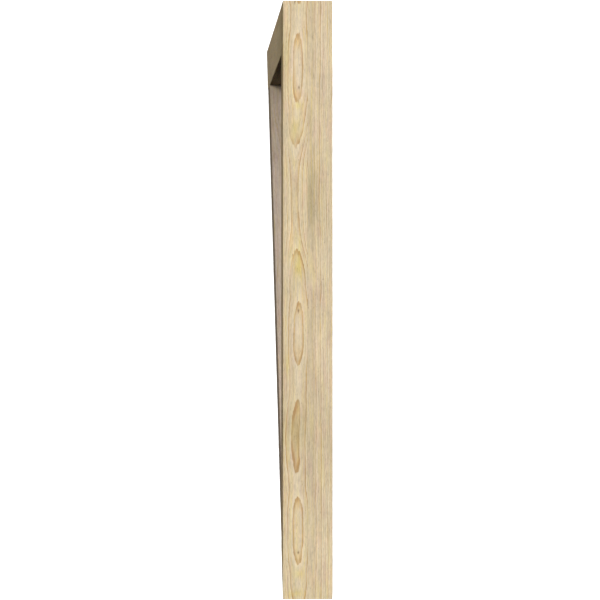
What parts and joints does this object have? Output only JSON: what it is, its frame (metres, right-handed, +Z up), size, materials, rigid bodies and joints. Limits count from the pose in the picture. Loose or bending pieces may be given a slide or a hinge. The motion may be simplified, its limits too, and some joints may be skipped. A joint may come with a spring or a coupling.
{
  "type": "wooden bracket",
  "caption": "Square-section timber wall bracket: post and arm meet square at the top, their ends cut on one slope, with a straight diagonal brace between them.",
  "frame": {"origin": "on the floor, midway between the foot's tip and the arm's tip, in the bracket's middle plane", "axes": "+Z up from the floor that the two end cuts stand on; +Y along that floor from the post's foot to the arm's end; +X across the members, to the right as seen facing the wall side. On its wall the post's wall face points along (0, -1, 1) and the arm runs along (0, 1, -1)."},
  "size_m": [0.0888, 1.5086, 0.7543],
  "materials": {
    "post_timber": "planed, unfinished softwood",
    "arm_timber": "planed, unfinished softwood",
    "brace_timber": "planed, unfinished softwood"
  },
  "bodies": {
    "root": {"post_left_board": "post_timber", "post_right_board": "post_timber", "arm_left_board": "arm_timber", "arm_right_board": "arm_timber", "brace_left_board": "brace_timber", "brace_right_board": "brace_timber"}
  },
  "joints": []
}
